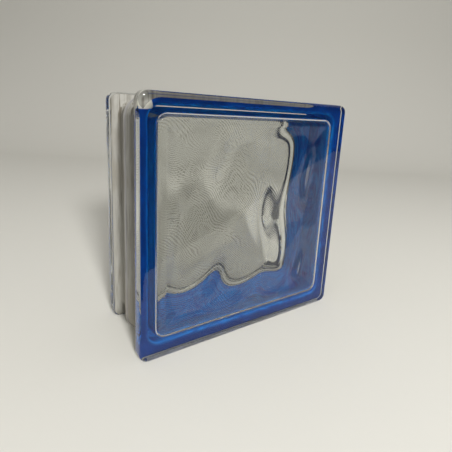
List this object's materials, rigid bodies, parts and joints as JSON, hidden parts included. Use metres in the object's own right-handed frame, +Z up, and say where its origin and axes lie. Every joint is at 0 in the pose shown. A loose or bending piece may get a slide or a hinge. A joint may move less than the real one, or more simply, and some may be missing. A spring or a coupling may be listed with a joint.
{
  "type": "glass block",
  "caption": "Hollow square glass block with rounded rims, wavy inner faces and blue-lacquered, bond-coated side walls, for mortared walls and screens.",
  "frame": {"origin": "middle of the underside, on the plane that the lower edges of both rims stand on, below the fused seam", "axes": "+Z up, +Y from the front face to the rear face, +X to the right of someone who looks at the front face"},
  "size_m": [0.19, 0.08, 0.19],
  "materials": {
    "clear_glass": "polished clear pressed glass",
    "blue_lacquer": "blue lacquer, seen through the glass",
    "bond_coat": "matt grey-white bond coat, brushed on"
  },
  "bodies": {
    "root": {"front_half": "clear_glass", "rear_half": "clear_glass", "blue_lacquer": "blue_lacquer", "bond_coat": "bond_coat"}
  },
  "joints": []
}
